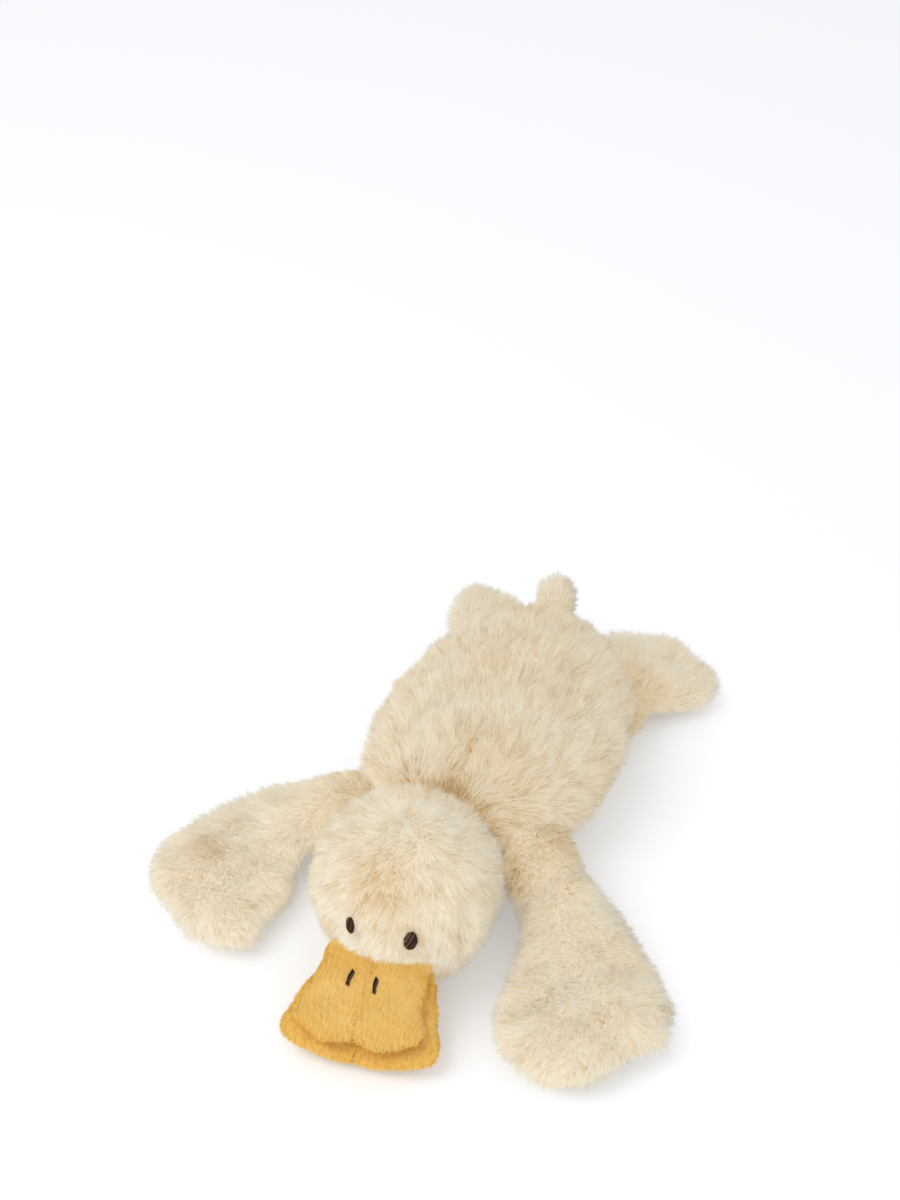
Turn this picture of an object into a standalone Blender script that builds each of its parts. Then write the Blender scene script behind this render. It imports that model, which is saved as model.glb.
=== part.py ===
"""A floppy plush duck that lies on its belly, with its bill forward along -Y.

Every cover is a pouch of pile fabric, open where it is sewn to its neighbour, and the stuffing
inside it is a solid of its own. Each limb starts as a ball round its joint, in a hollow of the body.
The origin is on the floor, under the middle of the body. Units are metres, +Z is up.
"""

import math

import bmesh
import bpy
from mathutils import Matrix, Vector

# Fabrics and clearances
PILE = 0.004
VELOUR = 0.0018
TAIL_PILE = 0.0028
FILL_GAP = 0.0008
SEAT_GAP = 0.0007
SEWN_GAP = 0.0003
FLAT_CUT = 0.0005
LIMB_SINK = 0.0014
OVERRUN = 0.02

# Body: an egg, widest behind its middle
BODY_LENGTH = 0.219
BODY_WIDTH = 0.147
BODY_HEIGHT = 0.084
BODY_MIDDLE_HEIGHT = 0.037
BODY_REAR = 0.108

# Neck: the front of the body is a ball, which the head is hollowed to fit
NECK_HEIGHT = 0.050
NECK_RADIUS = 0.026
NECK_AHEAD = BODY_LENGTH - BODY_REAR - NECK_RADIUS
NECK_OPENING_RADIUS = 0.013

# Head
HEAD_WIDTH = 0.107
HEAD_LENGTH = 0.106
HEAD_HEIGHT = 0.105
HEAD_BEYOND_NECK = 0.062
HEAD_AHEAD = NECK_AHEAD + HEAD_BEYOND_NECK
HEAD_ASIDE = 0.001
HEAD_MIDDLE_HEIGHT = 0.052

# The face is turned and leans a little to the duck's left
FACE_TURN = 4.0
FACE_LEAN = 3.0

# Eyes: raised ovals of satin stitch, let into the pile
EYE_WIDTH = 0.0075
EYE_HEIGHT = 0.012
EYE_DEPTH = 0.004
EYE_PROUD = 0.001
EYE_TURN = 19.0
EYE_RISE = 11.5
EYE_LEAN = 12.0

# Bill: a padded cushion that lies in the dished top of a wider one
BILL_BASE_BEYOND_HEAD = 0.036
BILL_BASE_AHEAD = HEAD_AHEAD + BILL_BASE_BEYOND_HEAD
BILL_BASE_HEIGHT = 0.034
BILL_PITCH = 18.0
BILL_NOTCH = 0.003
BILL_END_ROUND = 0.003
UPPER_BILL_TURN = 5.0
LOWER_BILL_TURN = 6.0
UPPER_BILL_LENGTH = 0.059
UPPER_BILL_WIDTH = 0.073
UPPER_BILL_THICKNESS = 0.017
UPPER_BILL_HEIGHT = 0.0050
LOWER_BILL_LENGTH = 0.062
LOWER_BILL_WIDTH = 0.089
LOWER_BILL_THICKNESS = 0.018
LOWER_BILL_HEIGHT = -0.0054

# Nostrils: two stitched dashes on the upper bill
NOSTRIL_LENGTH = 0.011
NOSTRIL_WIDTH = 0.0026
NOSTRIL_DEPTH = 0.0020
NOSTRIL_PROUD = 0.0008
NOSTRIL_SPACING = 0.015
NOSTRIL_FROM_TIP = 0.032

# Wings: three-lobed paddles, swept forward unalike as the toy lies
SHOULDER_OUT = 0.053
SHOULDER_BEHIND_NECK = 0.008
SHOULDER_AHEAD = NECK_AHEAD - SHOULDER_BEHIND_NECK
SHOULDER_HEIGHT = 0.031
SHOULDER_RADIUS = 0.021
LEFT_WING_LENGTH = 0.164
RIGHT_WING_LENGTH = 0.149
WING_ROOT_WIDTH = 0.042
WING_WIDTH = 0.097
WING_THICKNESS = 0.036
WING_LOBE_DEPTH = 0.004
WING_END_ROUND = 0.014
LEFT_WING_HEADINGS = (135.0, 175.0)
RIGHT_WING_HEADINGS = (-108.0, -219.0)

# Legs: short tubes that widen to webbed feet with three toes
HIP_OUT = 0.0535
HIP_FROM_REAR = 0.030
HIP_BEHIND = BODY_REAR - HIP_FROM_REAR
HIP_HEIGHT = 0.021
HIP_RADIUS = 0.020
LEG_LENGTH = 0.079
LEG_ROOT_WIDTH = 0.033
FOOT_WIDTH = 0.084
FOOT_THICKNESS = 0.030
TOE_DEPTH = 0.005
FOOT_END_ROUND = 0.016
LEFT_LEG_HEADINGS = (20.0, 8.0)
RIGHT_LEG_HEADINGS = (-24.0, 40.0)

# Tail: a short upright tab
TAIL_FROM_REAR = 0.016
TAIL_BEHIND = BODY_REAR - TAIL_FROM_REAR
TAIL_HEIGHT = 0.062
TAIL_RADIUS = 0.011
TAIL_LENGTH = 0.030
TAIL_ROOT_WIDTH = 0.021
TAIL_WIDTH = 0.026
TAIL_THICKNESS = 0.016
TAIL_END_ROUND = 0.008
TAIL_TILT = 62.0

# Pellet pouch, flat on the belly panel
POUCH_LENGTH = 0.090
POUCH_WIDTH = 0.066
POUCH_HEIGHT = 0.034
POUCH_MIDDLE_HEIGHT = 0.007
POUCH_BEHIND = 0.010

# Each ring of the body: its place from the rear, and its half width, rise and drop
BODY_SHARES = (
    (0.985, 0.22, 0.36, 0.46),
    (0.900, 0.36, 0.60, 0.58),
    (0.800, 0.72, 0.84, 0.80),
    (0.690, 0.95, 0.93, 0.98),
    (0.560, 1.00, 0.98, 1.00),
    (0.420, 0.98, 1.00, 1.00),
    (0.280, 0.90, 0.96, 1.00),
    (0.150, 0.73, 0.80, 0.92),
    (0.050, 0.45, 0.48, 0.55),
)
# How far each of the foremost rings is lifted towards the neck's height
NECK_LIFT_SHARES = (1.0, 0.75, 0.25)
# Each ring of the head: its place from the rear, and its half width, rise and drop
HEAD_SHARES = (
    (0.945, 0.44, 0.44, 0.44),
    (0.790, 0.82, 0.82, 0.84),
    (0.600, 0.99, 0.99, 1.00),
    (0.400, 0.99, 0.99, 1.00),
    (0.210, 0.82, 0.82, 0.84),
    (0.055, 0.44, 0.44, 0.44),
)
# Each ring of a limb: its place along, its width from root to full, and its thickness
WING_SHARES = (
    (0.14, 0.06, 1.00),
    (0.32, 0.24, 1.00),
    (0.52, 0.60, 1.00),
    (0.72, 0.96, 0.98),
    (0.89, 0.92, 0.86),
    (0.98, 0.58, 0.52),
)
LEG_SHARES = (
    (0.24, 0.00, 0.98),
    (0.50, 0.66, 1.00),
    (0.76, 1.00, 0.98),
    (0.96, 0.68, 0.62),
)
TAIL_SHARES = (
    (0.35, 0.70, 1.00),
    (0.72, 0.90, 0.92),
    (0.97, 0.10, 0.62),
)
UPPER_BILL_SHARES = (
    (0.00, 0.92, 1.00),
    (0.35, 0.87, 1.00),
    (0.70, 0.98, 0.96),
    (0.92, 1.00, 0.78),
    (0.99, 0.84, 0.48),
)
LOWER_BILL_SHARES = (
    (0.00, 0.90, 0.96),
    (0.35, 0.86, 1.00),
    (0.70, 0.98, 1.00),
    (0.92, 1.00, 0.92),
    (0.99, 0.83, 0.60),
)
# The rings on a limb's root ball, in turns from its inner pole
BALL_RING_TURN_SHARES = (0.11, 0.19)
# How much larger a ball's cage is along its axis than the smooth ball
BALL_SWELL_SHARE = 1.045
# Share of a limb's length in which it comes down to the floor
SETTLE_SHARE = 0.6
# How much a paddle thins between its lobes, and how deep the lower bill's top is dished
GROOVE_SHARE = 0.14
DISH_SHARE = 0.98
# Below 1 this power makes cross-sections fuller at their sides than an ellipse
FULLNESS_SHARE = 0.85
# How far a bare cage's corners go towards the middles of their edges, to lie on its smooth surface
RELAX_SHARE = 4 / 3
# The dish deepens with this power of the height up the side, and the end's lobes and rounding come in
# with that power of the place along the limb
DISH_POWER = 3
END_POWER = 4

STRAIGHT_AHEAD = 180.0
CAGE_SIDES = 12
BALL_SEGMENTS = 24
BALL_RINGS = 12
STITCH_SEGMENTS = 12
STITCH_RINGS = 6
SPINE_STEPS = 40


def clear_scene():
    for old in list(bpy.data.objects):
        bpy.data.objects.remove(old, do_unlink=True)


def new_collection(name):
    collection = bpy.data.collections.new(name)
    bpy.context.scene.collection.children.link(collection)
    return collection


def new_material(name, color, roughness):
    material = bpy.data.materials.new(name)
    material.use_nodes = True
    shader = material.node_tree.nodes["Principled BSDF"]
    shader.inputs["Base Color"].default_value = (*color, 1.0)
    shader.inputs["Roughness"].default_value = roughness
    shader.inputs["Metallic"].default_value = 0.0
    return material


clear_scene()
PARTS = new_collection("plush_duck")
CUTTERS = new_collection("cutters")

CREAM = new_material("cream_pile", (0.745, 0.638, 0.456), 0.95)
YELLOW = new_material("yellow_velour", (0.790, 0.500, 0.140), 0.85)
MUSTARD = new_material("mustard_velour", (0.716, 0.402, 0.100), 0.85)
THREAD = new_material("brown_thread", (0.060, 0.028, 0.013), 0.60)
FILLING = new_material("white_filling", (0.860, 0.850, 0.820), 1.00)
POUCH_CLOTH = new_material("pouch_cloth", (0.600, 0.560, 0.480), 0.90)


def add_joint(name, location, tilt=0.0, lean=0.0, parent=None):
    """An empty on a joint's axis, which carries the pieces that turn about it."""
    empty = bpy.data.objects.new(name, None)
    empty.location = location
    empty.rotation_euler = (math.radians(tilt), math.radians(lean), 0.0)
    empty.parent = parent
    PARTS.objects.link(empty)
    return empty


def add_part(name, mesh, material, parent=None):
    part = bpy.data.objects.new(name, mesh)
    mesh.name = name
    mesh.materials.append(material)
    mesh.shade_smooth()
    part.parent = parent
    PARTS.objects.link(part)
    return part


def add_cutter(name, mesh, location=(0.0, 0.0, 0.0), parent=None):
    cutter = bpy.data.objects.new(name, mesh)
    mesh.name = name
    cutter.location = location
    cutter.parent = parent
    cutter.display_type = "WIRE"
    cutter.hide_render = True
    CUTTERS.objects.link(cutter)
    return cutter


def cut(part, cutter, operation="DIFFERENCE"):
    boolean = part.modifiers.new("cut_by_" + cutter.name, "BOOLEAN")
    boolean.operation = operation
    boolean.solver = "EXACT"
    boolean.object = cutter


def soften(part):
    subdivision = part.modifiers.new("soft", "SUBSURF")
    subdivision.levels = 1
    subdivision.render_levels = 1


def relax(part):
    """The bare cage is drawn in to where its smooth surface would lie, and split into triangles."""
    smooth = part.modifiers.new("relaxed", "SMOOTH")
    smooth.factor = RELAX_SHARE
    split = part.modifiers.new("split", "TRIANGULATE")
    split.quad_method = "FIXED"


def offset_surface(part, distance):
    """The surface moves out by this distance, or in where it is negative."""
    offset = part.modifiers.new("offset", "DISPLACE")
    offset.mid_level = 0.0
    offset.strength = distance


def shape_mesh(build, **sizes):
    """A mesh from one of bmesh's primitives."""
    shape = bmesh.new()
    build(shape, **sizes)
    mesh = bpy.data.meshes.new("shape")
    shape.to_mesh(mesh)
    shape.free()
    return mesh


def ellipsoid_mesh(size, segments=BALL_SEGMENTS, rings=BALL_RINGS):
    """An ellipsoid of these three diameters, scaled from a unit ball."""
    mesh = shape_mesh(bmesh.ops.create_uvsphere, u_segments=segments, v_segments=rings, radius=1.0)
    mesh.transform(Matrix.Diagonal((size[0] / 2, size[1] / 2, size[2] / 2, 1.0)))
    return mesh


def ball_mesh(radius):
    return ellipsoid_mesh((radius * 2, radius * 2, radius * 2))


def box_mesh(size):
    mesh = shape_mesh(bmesh.ops.create_cube, size=1.0)
    mesh.transform(Matrix.Diagonal((*size, 1.0)))
    return mesh


def rod_mesh(radius, length):
    """A cylinder along Y."""
    mesh = shape_mesh(bmesh.ops.create_cone, cap_ends=True, segments=BALL_SEGMENTS, radius1=radius,
                      radius2=radius, depth=length)
    mesh.transform(Matrix.Rotation(math.pi / 2, 4, "X"))
    return mesh


def oval(half_width, rise, drop):
    """Points round a soft cross-section, as (across, up), from its +across side over the top.

    A cage's ring lies outside the smooth surface that it makes, so it is drawn larger.
    """
    swell = 3.0 / (2.0 + math.cos(math.tau / CAGE_SIDES))
    points = []
    for index in range(CAGE_SIDES):
        angle = math.tau * index / CAGE_SIDES
        height = rise if math.sin(angle) > 0.0 else drop
        full = math.copysign(abs(math.sin(angle)) ** FULLNESS_SHARE, math.sin(angle))
        points.append((half_width * swell * math.cos(angle), height * swell * full))
    return points


def cage_mesh(rings, first_end, last_end):
    """Quads between rings; each end is "flat", or a point that its ring is drawn to."""
    shape = bmesh.new()
    loops = [[shape.verts.new(point) for point in ring] for ring in rings]
    for near, far in zip(loops, loops[1:]):
        for index in range(CAGE_SIDES):
            after = (index + 1) % CAGE_SIDES
            shape.faces.new((near[index], near[after], far[after], far[index]))
    close_end(shape, loops[0], first_end)
    close_end(shape, loops[-1], last_end)
    bmesh.ops.recalc_face_normals(shape, faces=shape.faces)
    mesh = bpy.data.meshes.new("cage")
    shape.to_mesh(mesh)
    shape.free()
    return mesh


def close_end(shape, loop, end):
    if end == "flat":
        # Strips between the top and the bottom of the ring
        for index in range(CAGE_SIDES // 2):
            under = (CAGE_SIDES - index) % CAGE_SIDES
            strip = (loop[index], loop[index + 1], loop[CAGE_SIDES - index - 1], loop[under])
            shape.faces.new(list(dict.fromkeys(strip)))
        return
    pole = shape.verts.new(end)
    for index in range(CAGE_SIDES):
        shape.faces.new((loop[index], loop[(index + 1) % CAGE_SIDES], pole))


def egg_rings(shares, length, width, rise, drop, rear, middle_height):
    """Rings square to Y, from the front of the body or the head to its rear."""
    rings = []
    for along, wide, high, low in shares:
        rings.append([Vector((across, rear - along * length, middle_height + up))
                      for across, up in oval(wide * width / 2, high * rise, low * drop)])
    return rings


def ease(share):
    return share * share * (3.0 - 2.0 * share)


def spine(length, headings, heights, share):
    """Place and direction on a limb's middle line, at this share of its length."""
    first, last = (math.radians(heading) for heading in headings)
    place = Vector((0.0, 0.0, 0.0))
    for step in range(SPINE_STEPS):
        passed = (step + 0.5) / SPINE_STEPS * share
        heading = first + (last - first) * ease(passed)
        place += Vector((math.sin(heading), math.cos(heading), 0.0)) * (length * share / SPINE_STEPS)
    place.z = heights[0] + (heights[1] - heights[0]) * ease(min(share / SETTLE_SHARE, 1.0))
    heading = first + (last - first) * ease(share)
    return place, Vector((math.sin(heading), math.cos(heading), 0.0))


def ball_rings(radius, headings):
    """The rings of a limb's root, on a ball round its joint."""
    ahead = spine(0.0, headings, (0.0, 0.0), 0.0)[1]
    across = ahead.cross(Vector((0.0, 0.0, 1.0)))
    rings = []
    for turns in BALL_RING_TURN_SHARES:
        reach = radius * BALL_SWELL_SHARE * math.sin(math.tau * turns)
        back = radius * BALL_SWELL_SHARE * math.cos(math.tau * turns)
        rings.append([across * u + Vector((0.0, 0.0, v)) - ahead * back
                      for u, v in oval(reach, reach, reach)])
    return rings


def limb_rings(length, root_width, width, thickness, headings, heights, shares, lobe_depth, end_round,
               dish=0.0):
    """Rings of a limb from root to end; its end has three lobes, or a notch where the depth is negative."""
    rings = []
    for along, wide, thick in shares:
        place, ahead = spine(length, headings, heights, along)
        across = ahead.cross(Vector((0.0, 0.0, 1.0)))
        half_width = (root_width + (width - root_width) * wide) / 2
        half_thickness = thick * thickness / 2
        late = along ** END_POWER
        ring = []
        for index, (u, v) in enumerate(oval(half_width, half_thickness, half_thickness)):
            angle = math.tau * index / CAGE_SIDES
            side = math.cos(angle)
            wave = math.cos(math.tau * side) if lobe_depth > 0.0 else -math.cos(math.tau * side)
            reach = late * (abs(lobe_depth) * wave - end_round * side * side)
            pinch = 1.0 - GROOVE_SHARE * late * (1.0 - wave) if lobe_depth else 1.0
            sink = dish * half_thickness * max(math.sin(angle), 0.0) ** DISH_POWER
            ring.append(place + across * u + Vector((0.0, 0.0, v * pinch - sink)) + ahead * reach)
        rings.append(ring)
    return rings


def add_pouch(name, rings, ends, material, wall, joint=None, mouth=None):
    """A cover with a room in it, and the filling of that room, all from the same cage.

    The room runs out of the cover at its first end by the vector mouth, where there is one.
    """
    skin = add_part(name + "_skin", cage_mesh(rings, *ends), material, joint)
    soften(skin)
    room_rings, room_ends = rings, ends
    if mouth:
        room_rings = [[point + mouth for point in rings[0]]] + rings
        room_ends = ("flat", ends[1])
    room = add_cutter("room_in_" + name, cage_mesh(room_rings, *room_ends), parent=joint)
    relax(room)
    offset_surface(room, -wall)
    cut(skin, room)
    stuffing = add_part(name + "_stuffing", cage_mesh(rings, *ends), FILLING, joint)
    relax(stuffing)
    offset_surface(stuffing, -wall - FILL_GAP)
    return skin, stuffing


def build_body(floor):
    rise = BODY_HEIGHT - BODY_MIDDLE_HEIGHT
    drop = BODY_MIDDLE_HEIGHT + FLAT_CUT
    rings = egg_rings(BODY_SHARES, BODY_LENGTH, BODY_WIDTH, rise, drop, BODY_REAR, BODY_MIDDLE_HEIGHT)
    for ring, share in zip(rings, NECK_LIFT_SHARES):
        for point in ring:
            point.z += share * (NECK_HEIGHT - BODY_MIDDLE_HEIGHT)
    front = Vector((0.0, BODY_REAR - BODY_LENGTH, NECK_HEIGHT))
    rear = Vector((0.0, BODY_REAR, BODY_MIDDLE_HEIGHT))
    skin, stuffing = add_pouch("body", rings, (front, rear), CREAM, PILE)
    cut(skin, floor)
    opening = add_cutter("neck_opening", rod_mesh(NECK_OPENING_RADIUS, NECK_RADIUS * 2),
                         (0.0, -NECK_AHEAD - NECK_RADIUS, NECK_HEIGHT))
    cut(skin, opening)
    pouch_outline = add_cutter("pouch_outline", cage_mesh(rings, front, rear))
    relax(pouch_outline)
    offset_surface(pouch_outline, -PILE - FILL_GAP)
    build_pellet_pouch(pouch_outline, stuffing)
    return skin, stuffing


def build_pellet_pouch(outline, body_stuffing):
    size = (POUCH_WIDTH, POUCH_LENGTH, POUCH_HEIGHT)
    place = (0.0, POUCH_BEHIND, POUCH_MIDDLE_HEIGHT)
    pouch = add_part("pellet_pouch", ellipsoid_mesh(size, STITCH_SEGMENTS, STITCH_RINGS), POUCH_CLOTH)
    pouch.location = place
    cut(pouch, outline, "INTERSECT")
    room = add_cutter("pouch_room", ellipsoid_mesh([side + FILL_GAP * 2 for side in size], STITCH_SEGMENTS,
                                                   STITCH_RINGS), place)
    cut(body_stuffing, room)


def head_rings(joint):
    rise = HEAD_HEIGHT - HEAD_MIDDLE_HEIGHT
    drop = HEAD_MIDDLE_HEIGHT + FLAT_CUT
    rear = HEAD_LENGTH / 2 - HEAD_AHEAD
    shift = Vector((HEAD_ASIDE, 0.0, 0.0)) - joint.location
    rings = egg_rings(HEAD_SHARES, HEAD_LENGTH, HEAD_WIDTH, rise, drop, rear, HEAD_MIDDLE_HEIGHT)
    front = Vector((0.0, rear - HEAD_LENGTH, HEAD_MIDDLE_HEIGHT)) + shift
    back = Vector((0.0, rear, HEAD_MIDDLE_HEIGHT)) + shift
    return [[point + shift for point in ring] for ring in rings], front, back


def build_head(neck, floor):
    rings, front, back = head_rings(neck)
    skin, stuffing = add_pouch("head", rings, (front, back), CREAM, PILE, neck)
    hollow = add_cutter("neck_hollow", ball_mesh(NECK_RADIUS + SEAT_GAP), neck.location)
    cut(skin, floor)
    cut(skin, hollow)
    cut(stuffing, hollow)
    for side, sign in (("left", 1.0), ("right", -1.0)):
        build_eye(side, sign, neck, skin)
    outline = add_cutter("head_outline", cage_mesh(rings, front, back), parent=neck)
    soften(outline)
    offset_surface(outline, SEWN_GAP)
    return outline


def build_eye(side, sign, neck, head_skin):
    turn = math.radians(sign * EYE_TURN + FACE_TURN)
    lift = math.radians(EYE_RISE)
    facing = Vector((math.sin(turn) * math.cos(lift), -math.cos(turn) * math.cos(lift), math.sin(lift)))
    facing.rotate(Matrix.Rotation(math.radians(FACE_LEAN), 3, "Y"))
    radii = (HEAD_WIDTH / 2, HEAD_LENGTH / 2, HEAD_HEIGHT - HEAD_MIDDLE_HEIGHT)
    reach = 1.0 / math.sqrt(sum((part / radius) ** 2 for part, radius in zip(facing, radii)))
    middle = Vector((HEAD_ASIDE, -HEAD_AHEAD, HEAD_MIDDLE_HEIGHT)) - neck.location
    place = middle + facing * (reach + EYE_PROUD - EYE_DEPTH / 2)
    lean = Matrix.Rotation(math.radians(-sign * EYE_LEAN), 4, "Z")
    matrix = Matrix.Translation(place) @ facing.to_track_quat("Z", "Y").to_matrix().to_4x4() @ lean
    size = (EYE_WIDTH, EYE_HEIGHT, EYE_DEPTH)
    add_stitched(side + "_eye", size, matrix, neck, head_skin)


def add_stitched(name, size, matrix, joint, carrier):
    """A raised patch of thread, let into the fabric that carries it."""
    patch = add_part(name, ellipsoid_mesh(size, STITCH_SEGMENTS, STITCH_RINGS), THREAD, joint)
    patch.matrix_local = matrix
    bed = add_cutter(name + "_bed", ellipsoid_mesh([side + SEWN_GAP * 2 for side in size], STITCH_SEGMENTS,
                                                   STITCH_RINGS), parent=joint)
    bed.matrix_local = matrix
    cut(carrier, bed)


def build_bill(neck, head_outline):
    place = Vector((HEAD_ASIDE, -BILL_BASE_AHEAD, BILL_BASE_HEIGHT)) - neck.location
    base = add_joint("bill_base", place, BILL_PITCH, FACE_LEAN, neck)
    upper = limb_rings(UPPER_BILL_LENGTH, 0.0, UPPER_BILL_WIDTH, UPPER_BILL_THICKNESS,
                       (STRAIGHT_AHEAD - UPPER_BILL_TURN,) * 2, (UPPER_BILL_HEIGHT,) * 2, UPPER_BILL_SHARES,
                       -BILL_NOTCH, BILL_END_ROUND)
    lower = limb_rings(LOWER_BILL_LENGTH, 0.0, LOWER_BILL_WIDTH, LOWER_BILL_THICKNESS,
                       (STRAIGHT_AHEAD - LOWER_BILL_TURN,) * 2, (LOWER_BILL_HEIGHT,) * 2, LOWER_BILL_SHARES,
                       0.0, BILL_END_ROUND, DISH_SHARE)
    upper_skin, upper_stuffing = add_pouch("upper_bill", upper, ("flat", "flat"), YELLOW, VELOUR, base)
    lower_skin, lower_stuffing = add_pouch("lower_bill", lower, ("flat", "flat"), MUSTARD, VELOUR, base)
    for piece in (upper_skin, upper_stuffing, lower_skin, lower_stuffing):
        cut(piece, head_outline)
    top = UPPER_BILL_HEIGHT + UPPER_BILL_THICKNESS / 2
    for side, sign in (("left", 1.0), ("right", -1.0)):
        dash = Vector((sign * NOSTRIL_SPACING / 2, NOSTRIL_FROM_TIP - UPPER_BILL_LENGTH,
                       top + NOSTRIL_PROUD - NOSTRIL_DEPTH / 2))
        add_stitched(side + "_nostril", (NOSTRIL_WIDTH, NOSTRIL_LENGTH, NOSTRIL_DEPTH),
                     Matrix.Translation(dash), base, upper_skin)


def build_limb(name, place, radius, headings, rings, wall, body, floor, tilt=0.0):
    """A limb's cover and stuffing, which start as a ball round their joint in a hollow of the body."""
    joint = add_joint(name + "_root", place, tilt)
    back = spine(0.0, headings, (0.0, 0.0), 0.0)[1] * -radius * BALL_SWELL_SHARE
    rings = ball_rings(radius, headings) + rings
    skin, stuffing = add_pouch(name, rings, (back, "flat"), CREAM, wall, joint, back)
    if floor:
        cut(skin, floor)
    hollow = add_cutter(name + "_hollow", ball_mesh(radius + SEAT_GAP), place)
    for piece in body:
        cut(piece, hollow)


def build_wing(name, sign, length, headings, body, floor):
    heights = (0.0, WING_THICKNESS / 2 - LIMB_SINK - SHOULDER_HEIGHT)
    rings = limb_rings(length, WING_ROOT_WIDTH, WING_WIDTH, WING_THICKNESS, headings, heights, WING_SHARES,
                       WING_LOBE_DEPTH, WING_END_ROUND)
    place = (sign * SHOULDER_OUT, -SHOULDER_AHEAD, SHOULDER_HEIGHT)
    build_limb(name, place, SHOULDER_RADIUS, headings, rings, PILE, body, floor)


def build_leg(name, sign, headings, body, floor):
    heights = (0.0, FOOT_THICKNESS / 2 - LIMB_SINK - HIP_HEIGHT)
    rings = limb_rings(LEG_LENGTH, LEG_ROOT_WIDTH, FOOT_WIDTH, FOOT_THICKNESS, headings, heights, LEG_SHARES,
                       TOE_DEPTH, FOOT_END_ROUND)
    place = (sign * HIP_OUT, HIP_BEHIND, HIP_HEIGHT)
    build_limb(name, place, HIP_RADIUS, headings, rings, PILE, body, floor)


def build_tail(body):
    straight = (0.0, 0.0)
    rings = limb_rings(TAIL_LENGTH, TAIL_ROOT_WIDTH, TAIL_WIDTH, TAIL_THICKNESS, straight, straight,
                       TAIL_SHARES, 0.0, TAIL_END_ROUND)
    place = (0.0, TAIL_BEHIND, TAIL_HEIGHT)
    build_limb("tail", place, TAIL_RADIUS, straight, rings, TAIL_PILE, body, None, TAIL_TILT)


def build_duck():
    reach = (BODY_LENGTH + LEFT_WING_LENGTH + LEG_LENGTH) * 2
    floor = add_cutter("under_floor", box_mesh((reach, reach, OVERRUN)), (0.0, 0.0, -OVERRUN / 2))
    body = build_body(floor)
    neck = add_joint("neck", (0.0, -NECK_AHEAD, NECK_HEIGHT))
    head_outline = build_head(neck, floor)
    build_bill(neck, head_outline)
    build_wing("left_wing", 1.0, LEFT_WING_LENGTH, LEFT_WING_HEADINGS, body, floor)
    build_wing("right_wing", -1.0, RIGHT_WING_LENGTH, RIGHT_WING_HEADINGS, body, floor)
    build_leg("left_leg", 1.0, LEFT_LEG_HEADINGS, body, floor)
    build_leg("right_leg", -1.0, RIGHT_LEG_HEADINGS, body, floor)
    build_tail(body)
    bpy.context.view_layer.update()


build_duck()
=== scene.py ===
"""The looks of a floppy plush duck: cream fur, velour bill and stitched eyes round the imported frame."""
import math

import bmesh
import bpy
import numpy as np
from mathutils import Matrix, Vector
from mathutils.bvhtree import BVHTree
from mathutils.kdtree import KDTree


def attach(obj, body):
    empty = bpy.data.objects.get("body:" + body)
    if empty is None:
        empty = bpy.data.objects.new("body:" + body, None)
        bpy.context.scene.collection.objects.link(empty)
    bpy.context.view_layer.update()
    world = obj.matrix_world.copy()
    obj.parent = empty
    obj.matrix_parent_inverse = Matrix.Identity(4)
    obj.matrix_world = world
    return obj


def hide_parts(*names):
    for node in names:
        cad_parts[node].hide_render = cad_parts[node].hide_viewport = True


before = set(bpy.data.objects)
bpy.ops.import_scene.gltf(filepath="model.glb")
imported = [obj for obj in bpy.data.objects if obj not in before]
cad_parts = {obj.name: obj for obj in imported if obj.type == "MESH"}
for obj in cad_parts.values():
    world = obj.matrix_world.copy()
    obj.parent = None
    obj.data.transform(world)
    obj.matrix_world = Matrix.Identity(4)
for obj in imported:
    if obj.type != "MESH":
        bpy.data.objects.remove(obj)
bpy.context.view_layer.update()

TAU = math.tau

# The forms' sizes in metres, as in the part's source
BODY_LENGTH, BODY_WIDTH, BODY_HEIGHT = 0.219, 0.147, 0.084
BODY_MIDDLE, BODY_REAR = 0.037, 0.108
NECK = np.array((0.0, -0.085, 0.050))
NECK_RADIUS = 0.026
HEAD_WIDTH, HEAD_LENGTH, HEAD_HEIGHT = 0.107, 0.106, 0.105
HEAD_CENTRE = np.array((0.001, -0.147, 0.052))
SHOULDER_OUT, SHOULDER_AHEAD, SHOULDER_HEIGHT, SHOULDER_RADIUS = 0.053, 0.077, 0.031, 0.021
HIP_OUT, HIP_BEHIND, HIP_HEIGHT, HIP_RADIUS = 0.0535, 0.078, 0.021, 0.020
TAIL_ROOT, TAIL_RADIUS = np.array((0.0, 0.092, 0.062)), 0.011
BILL_BASE = np.array((0.001, -0.183, 0.034))
BILL_PITCH, FACE_LEAN = 18.0, 3.0
SINK = 0.0014

BODY_SHARES = (
    (0.985, 0.22, 0.36, 0.46), (0.900, 0.36, 0.60, 0.58), (0.800, 0.72, 0.84, 0.80),
    (0.690, 0.95, 0.93, 0.98), (0.560, 1.00, 0.98, 1.00), (0.420, 0.98, 1.00, 1.00),
    (0.280, 0.90, 0.96, 1.00), (0.150, 0.73, 0.80, 0.92), (0.050, 0.45, 0.48, 0.55),
)
NECK_LIFTS = (1.0, 0.75, 0.25)
HEAD_SHARES = (
    (0.945, 0.44, 0.44, 0.44), (0.790, 0.82, 0.82, 0.84), (0.600, 0.99, 0.99, 1.00),
    (0.400, 0.99, 0.99, 1.00), (0.210, 0.82, 0.82, 0.84), (0.055, 0.44, 0.44, 0.44),
)
WING_SHARES = (
    (0.14, 0.06, 1.00), (0.32, 0.24, 1.00), (0.52, 0.60, 1.00), (0.72, 0.96, 0.98),
    (0.89, 0.92, 0.86), (0.98, 0.58, 0.52),
)
LEG_SHARES = ((0.24, 0.00, 0.98), (0.50, 0.66, 1.00), (0.76, 1.00, 0.98), (0.96, 0.68, 0.62))
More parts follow.
